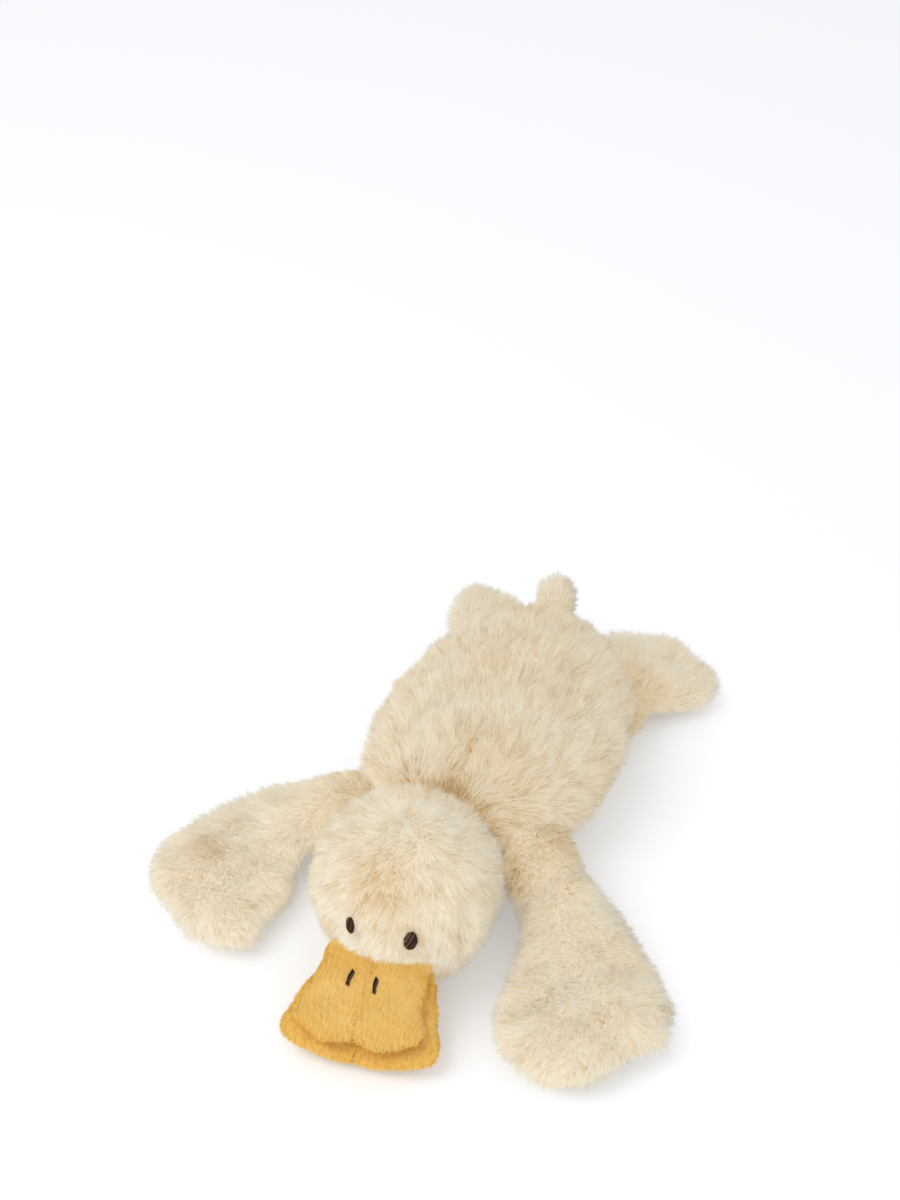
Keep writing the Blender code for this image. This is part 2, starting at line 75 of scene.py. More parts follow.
TAIL_SHARES = ((0.35, 0.70, 1.00), (0.72, 0.90, 0.92), (0.97, 0.10, 0.62))
UPPER_SHARES = ((0.00, 0.82, 0.90), (0.25, 0.80, 1.00), (0.50, 0.84, 1.06), (0.75, 0.97, 1.06),
                (0.92, 1.00, 0.84), (1.01, 0.82, 0.44))
LOWER_SHARES = ((0.00, 0.68, 0.90), (0.32, 0.77, 1.00), (0.62, 0.92, 1.00), (0.82, 0.99, 1.00),
                (0.95, 0.94, 0.90), (1.02, 0.76, 0.58))

# The fur: how deep its roots lie under the outline, and its hairs
ROOT_DEPTH = 0.0050
SEAM_DEPTH = 0.0012
HAIR_WIDTH = 0.00043
FLOOR_GAP = 0.0003
# How much a hair's shading follows its cover, the sky and its own round side
SKIN_LIGHT, SKY_LIGHT, ROUND_LIGHT = 0.42, 0.42, 1.15
UP = np.array((0.0, 0.0, 1.0))
SIDES = 12
# The room between a cover and the ball that turns in it, and how a ball's cage is drawn larger
SEAT_GAP = 0.0006
BALL_SWELL = 1.045
EYE_SINK = 0.001


# Forms

def added(name, data):
    """A new object in the scene."""
    obj = bpy.data.objects.new(name, data)
    bpy.context.scene.collection.objects.link(obj)
    return obj


def ease(share):
    return share * share * (3.0 - 2.0 * share)


def oval(half_width, rise, drop, power=0.85):
    """A cage's ring as (across, up), drawn larger than the smooth surface that it makes."""
    swell = 3.0 / (2.0 + math.cos(TAU / SIDES))
    points = []
    for index in range(SIDES):
        angle = TAU * index / SIDES
        height = rise if math.sin(angle) > 0.0 else drop
        full = math.copysign(abs(math.sin(angle)) ** power, math.sin(angle))
        points.append((half_width * swell * math.cos(angle), height * swell * full))
    return points


def spine(length, headings, heights, share):
    first, last = (math.radians(heading) for heading in headings)
    place = np.zeros(3)
    for step in range(40):
        heading = first + (last - first) * ease((step + 0.5) / 40 * share)
        place += np.array((math.sin(heading), math.cos(heading), 0.0)) * (length * share / 40)
    place[2] = heights[0] + (heights[1] - heights[0]) * ease(min(share / 0.6, 1.0))
    heading = first + (last - first) * ease(share)
    return place, np.array((math.sin(heading), math.cos(heading), 0.0))


def limb(length, root_width, width, thickness, headings, heights, shares, lobe, end_round, dish=0.0,
         radius=None, depth=lambda along: 0.0, power=0.85):
    """A limb's rings, each a list of (place, direction ahead, depth under the outline)."""
    rings = []
    if radius:
        ahead = spine(0.0, headings, (0.0, 0.0), 0.0)[1]
        across = np.cross(ahead, (0.0, 0.0, 1.0))
        for turns in (0.11, 0.19):
            ball = (radius - depth(0.0)) * BALL_SWELL
            reach, back = ball * math.sin(TAU * turns), ball * math.cos(TAU * turns)
            rings.append([(across * u + np.array((0.0, 0.0, v)) - ahead * back, ahead, depth(0.0))
                          for u, v in oval(reach, reach, reach)])
    for along, wide, thick in shares:
        place, ahead = spine(length, headings, heights, along)
        across = np.cross(ahead, (0.0, 0.0, 1.0))
        deep = depth(along)
        half_width = (root_width + (width - root_width) * wide) / 2 - deep
        half = thick * thickness / 2
        half = max(half - deep, half * 0.4)
        late = along ** 4
        ring = []
        for index, (u, v) in enumerate(oval(half_width, half, half, power)):
            angle = TAU * index / SIDES
            side = math.cos(angle)
            wave = math.cos(TAU * side) if lobe > 0.0 else -math.cos(TAU * side)
            reach = late * (abs(lobe) * wave - end_round * side * side - deep)
            pinch = 1.0 - 0.14 * late * (1.0 - wave) if lobe else 1.0
            sink = dish * half * max(math.sin(angle), 0.0) ** 3
            ring.append((place + across * u + np.array((0.0, 0.0, v * pinch - sink)) + ahead * reach,
                         ahead, deep))
        rings.append(ring)
    return rings


def egg(shares, length, width, rise, drop, rear, middle, depth):
    """An egg's rings from front to rear; the hairs' direction is set later."""
    rings = []
    for along, wide, high, low in shares:
        deep = depth(along)
        y = rear - deep - along * (length - 2 * deep) if depth(1.0) == depth(0.0) else rear - along * length
        rings.append([(np.array((u, y, middle + v)), np.array((0.0, 1.0, 0.0)), deep)
                      for u, v in oval(wide * width / 2 - deep * min(wide + 0.1, 1.0),
                                       high * rise - deep * min(high + 0.1, 1.0),
                                       low * drop - deep * min(low + 0.1, 1.0))])
    return rings


def surface(name, rings, first_end, last_end, levels, matrix=None):
    """A smooth mesh from rings. Each end is "flat" or the point of its pole."""
    mesh = bpy.data.meshes.new(name)
    shape = bmesh.new()
    deep_layer = shape.verts.layers.float.new("deep")
    ahead_layer = shape.verts.layers.float_vector.new("ahead")
    loops = []
    for ring in rings:
        loop = []
        for place, ahead, deep in ring:
            vert = shape.verts.new(place)
            vert[deep_layer] = deep
            vert[ahead_layer] = Vector(ahead)
            loop.append(vert)
        loops.append(loop)
    for near, far in zip(loops, loops[1:]):
        for index in range(SIDES):
            after = (index + 1) % SIDES
            shape.faces.new((near[index], near[after], far[after], far[index]))
    for loop, end in ((loops[0], first_end), (loops[-1], last_end)):
        if isinstance(end, str):
            for index in range(SIDES // 2):
                strip = (loop[index], loop[index + 1], loop[SIDES - index - 1], loop[(SIDES - index) % SIDES])
                shape.faces.new(list(dict.fromkeys(strip)))
        else:
            pole = shape.verts.new(end)
            pole[deep_layer] = loop[0][deep_layer]
            pole[ahead_layer] = loop[0][ahead_layer]
            for index in range(SIDES):
                shape.faces.new((loop[index], loop[(index + 1) % SIDES], pole))
    bmesh.ops.recalc_face_normals(shape, faces=shape.faces)
    shape.to_mesh(mesh)
    shape.free()
    cage = added(name, mesh)
    soft = cage.modifiers.new("soft", "SUBSURF")
    soft.levels = soft.render_levels = levels
    depsgraph = bpy.context.evaluated_depsgraph_get()
    smooth = bpy.data.meshes.new_from_object(cage.evaluated_get(depsgraph))
    cage.modifiers.clear()
    cage.data = smooth
    bpy.data.meshes.remove(mesh)
    smooth.name = name
    if matrix is not None:
        smooth.transform(matrix)
        turn = np.array(matrix.to_3x3())
        ahead = read(smooth, "ahead", 3)
        smooth.attributes["ahead"].data.foreach_set("vector", (ahead @ turn.T).ravel())
    smooth.shade_smooth()
    return cage


def read(mesh, name, width=1):
    """A point attribute as an array."""
    found = np.empty(len(mesh.vertices) * width, np.float32)
    mesh.attributes[name].data.foreach_get("value" if width == 1 else "vector", found)
    return found.astype(float).reshape(-1, width) if width > 1 else found.astype(float)


def places(obj):
    found = np.empty(len(obj.data.vertices) * 3, np.float32)
    obj.data.vertices.foreach_get("co", found)
    return found.astype(float).reshape(-1, 3)


def move_to(obj, points):
    obj.data.vertices.foreach_set("co", np.asarray(points, np.float32).ravel())
    obj.data.update()


def normals(obj):
    found = np.empty(len(obj.data.vertices) * 3, np.float32)
    obj.data.vertex_normals.foreach_get("vector", found)
    return found.astype(float).reshape(-1, 3)


def unit(vectors):
    return vectors / np.maximum(np.linalg.norm(vectors, axis=-1, keepdims=True), 1e-9)


def waves(points, size, seed, count=14):
    """Smooth noise of about unit height: waves of about this size in seeded directions."""
    rng = np.random.default_rng(seed)
    total = np.zeros(len(points))
    for _ in range(count):
        way = unit(rng.normal(size=3)) * TAU / (size * rng.uniform(0.7, 1.6))
        total += np.sin(points @ way + rng.uniform(0.0, TAU))
    return total / math.sqrt(count / 2)


def pit(points, centre, radius, depth):
    """How far each point sinks in a soft round pit."""
    away = np.linalg.norm(points - np.asarray(centre), axis=1)
    return depth * np.exp(-(away / radius) ** 2)


def groove(points, line, radius, depth):
    """How far each point sinks along a line of points."""
    nearest = np.full(len(points), np.inf)
    for a, b in zip(line, line[1:]):
        a, b = np.asarray(a), np.asarray(b)
        along = np.clip((points - a) @ (b - a) / ((b - a) @ (b - a)), 0.0, 1.0)
        nearest = np.minimum(nearest, np.linalg.norm(points - a - along[:, None] * (b - a), axis=1))
    return depth * np.exp(-(nearest / radius) ** 2)


def shoved(points, shoves):
    """Points near each centre move along with it, as a hand would push the stuffing."""
    for centre, radius, move in shoves:
        share = np.exp(-(np.linalg.norm(points[:, :2] - np.array(centre), axis=1) / radius) ** 2)
        points = points + share[:, None] * np.array((*move, 0.0))
    return points


def hollow(points, away, centre, radius):
    """Points within a ball move against their normals, to its surface."""
    rel = points - centre
    b = (rel * away).sum(1)
    c = (rel * rel).sum(1) - radius * radius
    inside = c < 0.0
    step = np.where(inside, b + np.sqrt(np.maximum(b * b - c, 0.0)), 0.0)
    return points - away * step[:, None]


# Fur

TONES, WARMTHS = 16, 8


class Coat:
    """What the fur of one piece grows from, with how it lies."""

    def __init__(self, obj, density, length, comb, tone=None, seed=1, lift=None):
        mesh = obj.data
        mesh.calc_loop_triangles()
        tris = np.empty(len(mesh.loop_triangles) * 3, np.int32)
        mesh.loop_triangles.foreach_get("vertices", tris)
        self.tris = tris.reshape(-1, 3)
        self.points, self.normals = places(obj), normals(obj)
        self.deep = read(mesh, "deep")
        self.ahead = read(mesh, "ahead", 3)
        self.density, self.length, self.comb, self.tone, self.seed = density, length, comb, tone, seed
        self.lift = lift or (lambda p: np.zeros(len(p)))

    def sow(self, per_mm2, seed):
        rng = np.random.default_rng(seed)
        a, b, c = (self.points[self.tris[:, k]] for k in range(3))
        area = np.linalg.norm(np.cross(b - a, c - a), axis=1) / 2
        middle = (a + b + c) / 3
        facing = unit(np.cross(b - a, c - a))
        weight = area * np.clip(self.density(middle, facing), 0.0, None)
        count = int(weight.sum() * 1e6 * per_mm2)
        sums = np.cumsum(weight)
        pick = np.searchsorted(sums, (np.arange(count) + rng.random(count)) / count * sums[-1])
        pick = pick.clip(0, len(sums) - 1)
        u, v = rng.random(count), rng.random(count)
        flip = u + v > 1.0
        u[flip], v[flip] = 1.0 - u[flip], 1.0 - v[flip]
        share = np.stack((1.0 - u - v, u, v), 1)
        corner = self.tris[pick]

        def blend(values):
            return (values[corner] * share[:, :, None]).sum(1)

        return (blend(self.points), unit(blend(self.normals)), blend(self.deep[:, None])[:, 0],
                unit(blend(self.ahead)))


def nearest(points, centres):
    tree = KDTree(len(centres))
    for index, centre in enumerate(centres):
        tree.insert(centre, index)
    tree.balance()
    return np.fromiter((tree.find(p)[1] for p in points), np.int64, len(points))


def grown(root, normal, comb, length, lean, bend):
    """Two points on a hair beyond its root: it leans lean from the normal, then bend."""
    along = unit(comb - normal * (comb * normal).sum(1, keepdims=True))
    first = normal * np.cos(lean)[:, None] + along * np.sin(lean)[:, None]
    second = normal * np.cos(bend)[:, None] + along * np.sin(bend)[:, None]
    middle = root + first * (length * 0.5)[:, None]
    return middle, middle + second * (length * 0.5)[:, None]


def turned(vectors, normal, angle):
    """Vectors turned round the normals."""
    return (vectors * np.cos(angle)[:, None] + np.cross(normal, vectors) * np.sin(angle)[:, None]
            + normal * ((normal * vectors).sum(1) * (1.0 - np.cos(angle)))[:, None])


def fur(name, coat, per_mm2, most=66000, obstacles=(), width=HAIR_WIDTH, clump=0.0016, lean=(30.0, 55.0),
        gather=0.26, ragged=0.16, stray=12.0, shortest=0.0012, mottle=0.11, own_tone=0.15):
    """Hairs as slim three-sided spikes, gathered in tufts. Returns its pieces."""
    rng = np.random.default_rng(coat.seed * 101 + 7)
    root, normal, deep, ahead = coat.sow(per_mm2, coat.seed * 17 + 3)
    count = len(root)
    tuft_root, tuft_normal, tuft_deep, tuft_ahead = coat.sow(1e-6 / clump ** 2, coat.seed * 31 + 5)
    tuft = nearest(root, tuft_root)
    tufts = len(tuft_root)
    # Each tuft has its own heading, lean and length
    heading = rng.normal(0.0, math.radians(12.0), tufts) + waves(tuft_root, 0.022, coat.seed + 50) * 0.30
    comb = turned(coat.comb(tuft_root, tuft_normal, tuft_ahead), tuft_normal, heading)
    tuft_lean = np.radians(rng.normal(lean[0], 5.0, tufts) + waves(tuft_root, 0.016, coat.seed + 60) * 3.0
                           - coat.lift(tuft_root))
    tuft_bend = tuft_lean + np.radians(rng.normal(lean[1] - lean[0], 8.0, tufts))
    tuft_length = coat.length(tuft_root, tuft_normal, tuft_deep) * rng.normal(1.0, 0.10, tufts)
    tuft_mid, tuft_tip = grown(tuft_root, tuft_normal, comb, tuft_length, tuft_lean, tuft_bend)
    # Each hair follows its tuft, strays a little, and leans in to it towards the tip
    own = turned(comb[tuft], normal, rng.normal(0.0, math.radians(stray), count))
    own_lean = tuft_lean[tuft] + np.radians(rng.normal(0.0, stray * 0.6, count))
    own_bend = tuft_bend[tuft] + np.radians(rng.normal(0.0, stray * 0.8, count))
    length = coat.length(root, normal, deep) * (tuft_length / np.maximum(
        coat.length(tuft_root, tuft_normal, tuft_deep), 1e-6))[tuft]
    length = length * (1.0 - ragged * rng.random(count) ** 2 * 1.6)
    middle, tip = grown(root, normal, own, length, own_lean, own_bend)
    pull = gather * rng.uniform(0.6, 1.2, count)
    middle += (tuft_mid[tuft] - middle) * (pull * 0.35)[:, None]
    tip += (tuft_tip[tuft] - tip) * pull[:, None]
    keep = length > shortest
    for push in obstacles:
        root, middle, tip, keep = push(root, middle, tip, keep)
    root, middle, tip = root[keep], middle[keep], tip[keep]
    normal, tuft, length = normal[keep], tuft[keep], length[keep]
    count = len(root)
    for part in (root, middle, tip):
        part[:, 2] = np.maximum(part[:, 2], FLOOR_GAP)
    # A hair is a slim three-sided spike
    direction = unit(tip - root)
    across = unit(np.cross(direction, normal))
    over = np.cross(across, direction)
    roll = rng.uniform(0.0, TAU, count)
    half = width * 0.5 * rng.uniform(0.7, 1.25, count) * np.minimum(length / (shortest * 3.0), 1.0)
    corners, shade = [], []
    # Light falls on the fur as on its surface, with some relief from each hair
    for third in range(3):
        angle = roll + TAU * third / 3
        out = across * np.cos(angle)[:, None] + over * np.sin(angle)[:, None]
        corners.append(root + out * half[:, None])
        shade.append(unit(normal * SKIN_LIGHT + UP * SKY_LIGHT + out * ROUND_LIGHT))
    verts = np.stack((*corners, tip), 1)
    shade = np.stack((*shade, unit(normal * SKIN_LIGHT + UP * SKY_LIGHT + direction * 0.12)), 1)
    tone = rng.normal(0.0, mottle, tufts)[tuft] + rng.normal(0.0, own_tone, count)
    tone = tone + waves(root, 0.030, coat.seed + 70) * 0.03 + waves(root, 0.009, coat.seed + 71) * 0.05
    warm = 0.40 + waves(root, 0.045, coat.seed + 80) * 0.13 + rng.normal(0.0, 0.06, count)
    tone = tone + 0.55
    if coat.tone:
        darker, warmer = coat.tone(root, normal)
        tone, warm = tone - darker, warm + warmer
    # Where the fur is darker it is warmer too
    warm = warm + 0.35 * np.clip(0.50 - tone, -0.2, 0.5)
    tone_step = np.clip((tone * TONES).astype(int), 0, TONES - 1)
    warm_step = np.clip((warm * WARMTHS).astype(int), 0, WARMTHS - 1)
    made = []
    order = np.argsort(root[:, 1], kind="stable") if count > most else np.arange(count)
    parts = max(1, math.ceil(count / most))
    for index, chosen in enumerate(np.array_split(order, parts)):
        piece_name = name if parts == 1 else f"{name}_{index + 1}"
        made.append(strips(piece_name, verts[chosen], shade[chosen], tone_step[chosen], warm_step[chosen]))
    return made


def strips(name, verts, shade, tone, warm):
    """One mesh of hairs; each hair's colours sit in its own column of the map, from root to tip."""
    count = len(verts)
    mesh = bpy.data.meshes.new(name)
    mesh.vertices.add(count * 4)
    mesh.vertices.foreach_set("co", verts.astype(np.float32).ravel())
    base = np.arange(count, dtype=np.int32)[:, None] * 4
    corners = np.concatenate((base + (1, 0, 3), base + (2, 1, 3), base + (0, 2, 3)), 1).astype(np.int32)
    mesh.loops.add(count * 9)
    mesh.loops.foreach_set("vertex_index", corners.ravel())
    mesh.polygons.add(count * 3)
    mesh.polygons.foreach_set("loop_start", np.arange(count * 3, dtype=np.int32) * 3)
    mesh.update(calc_edges=True)
    mesh.validate()
    mesh.shade_smooth()
    mesh.normals_split_custom_set_from_vertices(shade.reshape(-1, 3))
    along = np.tile((0.0, 0.0, 0.0, 1.0), (count, 1))
    data = np.zeros((count, 4, 4), np.float32)
    data[..., 0] = ((tone + 0.5) / TONES)[:, None]
    data[..., 1] = along
    data[..., 2] = ((warm + 0.5) / WARMTHS)[:, None]
    data[..., 3] = 1.0
    colours = mesh.color_attributes.new("hair", "FLOAT_COLOR", "POINT")
    colours.data.foreach_set("color", data.ravel())
    column = (warm * TONES + tone)[:, None] / (TONES * WARMTHS)
    cell = 1.0 / (TONES * WARMTHS)
    u = column + cell * np.array((0.15, 0.85, 0.5, 0.5))
    v = 0.02 + 0.96 * along
    uv = np.stack((u, v), 2).reshape(-1, 2)
    layer = mesh.uv_layers.new(name="OFBake")
    layer.uv.foreach_set("vector", uv[corners.ravel()].astype(np.float32).ravel())
    return added(name, mesh)


# Materials

def material(name, roughness=0.9, specular=0.25, sheen=0.0, sheen_tint=(1.0, 1.0, 1.0)):
    made = bpy.data.materials.new(name)
    made.use_nodes = True
    shader = made.node_tree.nodes["Principled BSDF"]
    shader.inputs["Roughness"].default_value = roughness
    shader.inputs["Specular IOR Level"].default_value = specular
    shader.inputs["Sheen Weight"].default_value = sheen
    shader.inputs["Sheen Tint"].default_value = (*sheen_tint, 1.0)
    return made, made.node_tree, shader


def ramp(tree, stops, source):
    node = tree.nodes.new("ShaderNodeValToRGB")
    band = node.color_ramp
    stops = list(stops)
    while len(band.elements) < len(stops):
        band.elements.new(0.5)
    for element, (place, colour) in zip(band.elements, stops):
        element.position = place
        element.color = (*colour, 1.0)
    tree.links.new(source, node.inputs["Fac"])
    return node.outputs["Color"]


def mix(tree, factor, a, b, blend="MIX"):
    node = tree.nodes.new("ShaderNodeMix")
    node.data_type = "RGBA"
    node.blend_type = blend
    for socket, value in ((node.inputs[0], factor), (node.inputs[6], a), (node.inputs[7], b)):
        if isinstance(value, bpy.types.NodeSocket):
            tree.links.new(value, socket)
        elif isinstance(value, float):
            socket.default_value = value
        else:
            socket.default_value = (*value, 1.0)
    return node.outputs[2]


def noise(tree, scale, detail=3.0, roughness=0.6, space="Object"):
    where = tree.nodes.new("ShaderNodeTexCoord")
    node = tree.nodes.new("ShaderNodeTexNoise")
    node.inputs["Scale"].default_value = scale
    node.inputs["Detail"].default_value = detail
    node.inputs["Roughness"].default_value = roughness
    tree.links.new(where.outputs[space], node.inputs["Vector"])
    return node.outputs["Fac"]


def bumped(tree, shader, height, strength, distance):
    bump = tree.nodes.new("ShaderNodeBump")
    bump.inputs["Strength"].default_value = strength
    bump.inputs["Distance"].default_value = distance
    tree.links.new(height, bump.inputs["Height"])
    tree.links.new(bump.outputs["Normal"], shader.inputs["Normal"])


def pile_material(name, cool_stops, tan_stops, light_stops):
    """Each hair's colour runs from root to tip, between two hues, times its own lightness; the darker root is
    painted shade deep in the pile.
    """
    made, tree, shader = material(name, roughness=0.85, specular=0.15)
    hair = tree.nodes.new("ShaderNodeAttribute")
    hair.attribute_name = "hair"
    split = tree.nodes.new("ShaderNodeSeparateColor")
    tree.links.new(hair.outputs["Color"], split.inputs["Color"])
    tone, along, warm = split.outputs["Red"], split.outputs["Green"], split.outputs["Blue"]
    places = (0.0, 0.45, 1.0)
    colour = mix(tree, warm, ramp(tree, zip(places, cool_stops), along), ramp(tree, zip(places, tan_stops), along))
    light = ramp(tree, light_stops, tone)
    tree.links.new(mix(tree, 1.0, colour, light, "MULTIPLY"), shader.inputs["Base Color"])
    return made


def skin_material():
    """The knitted backing that the hairs stand in."""
    made, tree, shader = material("fur_backing", roughness=1.0, specular=0.1)
    fine = noise(tree, 900.0, 2.0)
    wide = noise(tree, 60.0, 3.0)
    colour = mix(tree, wide, (0.84, 0.74, 0.56), (0.88, 0.79, 0.62))
    tree.links.new(mix(tree, fine, colour, (0.76, 0.65, 0.46)), shader.inputs["Base Color"])
    bumped(tree, shader, fine, 0.6, 0.0008)
    return made


def velour_material(name, deep, plain, pale):
    """Short cut pile: fine specks, soft patches where the nap lies another way, painted as lighter and darker
    colour for the light it catches, and a soft sheen.
    """
    made, tree, shader = material(name, roughness=0.88, specular=0.2, sheen=0.25, sheen_tint=pale)
    shader.inputs["Sheen Roughness"].default_value = 0.45
    specks = noise(tree, 1500.0, 2.0, 0.7)
    nap = noise(tree, 260.0, 3.0, 0.65)
    patches = noise(tree, 45.0, 2.0, 0.5)
    colour = ramp(tree, ((0.25, deep), (0.50, plain), (0.78, pale)), nap)
    colour = mix(tree, 0.35, colour, ramp(tree, ((0.3, deep), (0.5, plain), (0.7, pale)), specks))
    colour = mix(tree, 0.30, colour, ramp(tree, ((0.35, deep), (0.65, pale)), patches))
    tree.links.new(colour, shader.inputs["Base Color"])
    bumped(tree, shader, mix(tree, 0.5, nap, specks), 0.55, 0.0009)
    return made


def thread_material():
    made, tree, shader = material("brown_thread", roughness=0.5, specular=0.15)
    fine = noise(tree, 1500.0, 2.0, 0.5)
    own = tree.nodes.new("ShaderNodeAttribute")
    own.attribute_name = "thread"
    # Each thread's own lightness is a painted satin highlight: lighter and darker threads stand in for the light
    # on them
    thread = ramp(tree, ((0.1, (0.016, 0.007, 0.004)), (0.9, (0.150, 0.080, 0.045))), own.outputs["Fac"])
    tree.links.new(mix(tree, 0.5, thread, ramp(tree, ((0.4, (0.3, 0.3, 0.3)), (0.6, (1.0, 1.0, 1.0))), fine),
                       "MULTIPLY"), shader.inputs["Base Color"])
    bumped(tree, shader, fine, 0.5, 0.0002)
    return made


# The darker root stops of these pile looks are painted shade deep in the fur
FUR = pile_material(
    "cream_fur",
    ((0.74, 0.61, 0.42), (0.93, 0.86, 0.71), (0.985, 0.955, 0.885)),
    ((0.68, 0.47, 0.25), (0.92, 0.75, 0.50), (0.98, 0.90, 0.71)),
    ((0.0, (0.50, 0.37, 0.22)), (0.14, (0.76, 0.65, 0.49)), (0.5, (0.955, 0.935, 0.880)), (1.0, (1.0, 1.0, 1.0))),
)
BACKING = skin_material()
YELLOW = velour_material("yellow_velour", (0.660, 0.380, 0.080), (0.780, 0.490, 0.145), (0.850, 0.590, 0.220))
MUSTARD = velour_material("mustard_velour", (0.700, 0.370, 0.060), (0.850, 0.520, 0.120), (0.930, 0.640, 0.210))
YELLOW_NAP = pile_material(
    "yellow_nap",
    ((0.68, 0.39, 0.080), (0.86, 0.56, 0.17), (0.98, 0.74, 0.32)),
    ((0.66, 0.32, 0.030), (0.87, 0.47, 0.065), (0.98, 0.63, 0.15)),
    ((0.0, (0.40, 0.28, 0.14)), (0.12, (0.68, 0.56, 0.38)), (0.5, (0.88, 0.83, 0.74)), (1.0, (1.0, 1.0, 1.0))),
)
MUSTARD_NAP = pile_material(
    "mustard_nap",
    ((0.72, 0.40, 0.065), (0.94, 0.60, 0.15), (1.00, 0.78, 0.34)),
    ((0.68, 0.33, 0.035), (0.92, 0.52, 0.085), (1.00, 0.69, 0.21)),
    ((0.0, (0.36, 0.24, 0.12)), (0.12, (0.74, 0.64, 0.48)), (0.5, (0.91, 0.87, 0.80)), (1.0, (1.0, 1.0, 1.0))),
)
THREAD = thread_material()


def dress_fur(pieces, look, body):
    """Hairs let light through, so the covers that they stand on are what casts the shadows."""
    for piece in pieces:
        piece.visible_shadow = False
        piece.visible_diffuse = False
        dress(piece, look, body)


def dress(obj, look, body, nodes=()):
    obj.data.materials.clear()
    obj.data.materials.append(look)
    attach(obj, body)
    if nodes:
        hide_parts(*nodes)


# Body

LIMB_BALLS = [
    (np.array((side * SHOULDER_OUT, -SHOULDER_AHEAD, SHOULDER_HEIGHT)), SHOULDER_RADIUS) for side in (1, -1)
] + [
    (np.array((side * HIP_OUT, HIP_BEHIND, HIP_HEIGHT)), HIP_RADIUS) for side in (1, -1)
] + [(TAIL_ROOT, TAIL_RADIUS)]


BODY_SHOVES = (((-0.080, 0.030), 0.050, (0.0050, 0.0)), ((-0.066, 0.082), 0.030, (0.0030, 0.0)))


def body_depth(along):
    return SEAM_DEPTH + (ROOT_DEPTH - SEAM_DEPTH) * ease(min(max((0.97 - along) / 0.14, 0.0), 1.0))


def head_shade(points):
    """How deep each point lies in the shade at the head's edge."""
    away = np.linalg.norm(points - HEAD_CENTRE, axis=1) - HEAD_WIDTH / 2 - 0.002
    return np.exp(-(np.maximum(away, 0.0) / 0.010) ** 2)


def build_body():
    rings = egg(BODY_SHARES, BODY_LENGTH, BODY_WIDTH, BODY_HEIGHT - BODY_MIDDLE, BODY_MIDDLE + 0.0005,
                BODY_REAR, BODY_MIDDLE, body_depth)
    for ring, lift in zip(rings, NECK_LIFTS):
        for place, _, _ in ring:
            place[2] += lift * (NECK[2] - BODY_MIDDLE)
    front = (0.0, BODY_REAR - BODY_LENGTH + SEAM_DEPTH, NECK[2])
    body = surface("body_cover", rings, front, (0.0, BODY_REAR - ROOT_DEPTH, BODY_MIDDLE), 3)
    points, away = places(body), normals(body)
    # The back seam is a valley that runs from the neck to the middle of the back
    seam = [(0.004, -0.108), (0.003, -0.080), (0.001, -0.050), (0.002, 0.020)]

    def valley(p, line, radius, depth):
        return groove(p[:, :2], line, radius, depth) * (p[:, 2] > BODY_MIDDLE + 0.010)

    sink = valley(points, seam[:2], 0.006, 0.0045) + valley(points, seam[1:3], 0.006, 0.0030)
    sink += valley(points, seam[2:], 0.006, 0.0010)
    sink += waves(points, 0.035, 11) * 0.0009 * (points[:, 2] > 0.02)
    points = shoved(points - away * sink[:, None], BODY_SHOVES)
    for centre, radius in LIMB_BALLS:
        points = hollow(points, away, centre, radius + SEAT_GAP)
    move_to(body, points)
    dress(body, BACKING, "body", ("body_skin", "body_stuffing", "pellet_pouch"))

    def density(p, facing):
        under = np.clip((facing[:, 2] + 0.75) / 0.5, 0.28, 1.0)
        free = np.ones(len(p))
        for centre, radius in LIMB_BALLS:
            free = np.minimum(free, np.clip((np.linalg.norm(p - centre, axis=1) - radius - 0.0004) / 0.001, 0, 1))
        neck = np.clip((np.linalg.norm(p - HEAD_CENTRE, axis=1) - 0.050) / 0.002, 0.0, 1.0)
        return under * free * neck

    def length(p, normal, deep):
        long = 0.0100 * deep / ROOT_DEPTH + 0.001
        for centre, radius in LIMB_BALLS:
            long = long * (1.25 - 0.25 * np.clip((np.linalg.norm(p - centre, axis=1) - radius) / 0.010, 0, 1))
        long = long * (1.0 - valley(p, seam[:3], 0.0040, 0.50))
        return long * np.where(normal[:, 2] < -0.6, 0.75, 1.0)

    def comb(p, normal, ahead):
        way = unit(p - NECK + np.array((0.0, 0.055, 0.030)))
        way = unit(way + np.array((0.0, 0.25, -0.25)))
        for centre, radius in LIMB_BALLS:
            # At a limb's root the fur closes over the seam
            rel = centre - p
            near = np.clip(1.0 - (np.linalg.norm(rel, axis=1) - radius) / 0.009, 0.0, 1.0)
            way = way + unit(rel) * near[:, None] * 2.2
        return way

    # Painted shade: the fur is darker and warmer along the back seam's valley, darkest in the pit where it meets
    # the head, and near the head's edge
    def tone(p, normal):
        valley_shade = valley(p, seam[:2], 0.0050, 1.0) + valley(p, seam[1:3], 0.0035, 0.7)
        corner = valley(p, seam[:2], 0.0060, 1.0) * head_shade(p)
        front = np.clip((-0.045 - p[:, 1]) / 0.03, 0.0, 1.0)
        shade = head_shade(p)
        return 0.11 + 0.26 * valley_shade + 0.45 * corner + 0.36 * shade, 0.35 * valley_shade + 0.22 * front + 0.45 * shade

    coat = Coat(body, density, length, comb, tone, seed=1)
    dress_fur(fur("body_fur", coat, 2.6), FUR, "body")


# Head

HEAD_SHOVES = (((0.056, -0.145), 0.040, (-0.0032, 0.0)),)


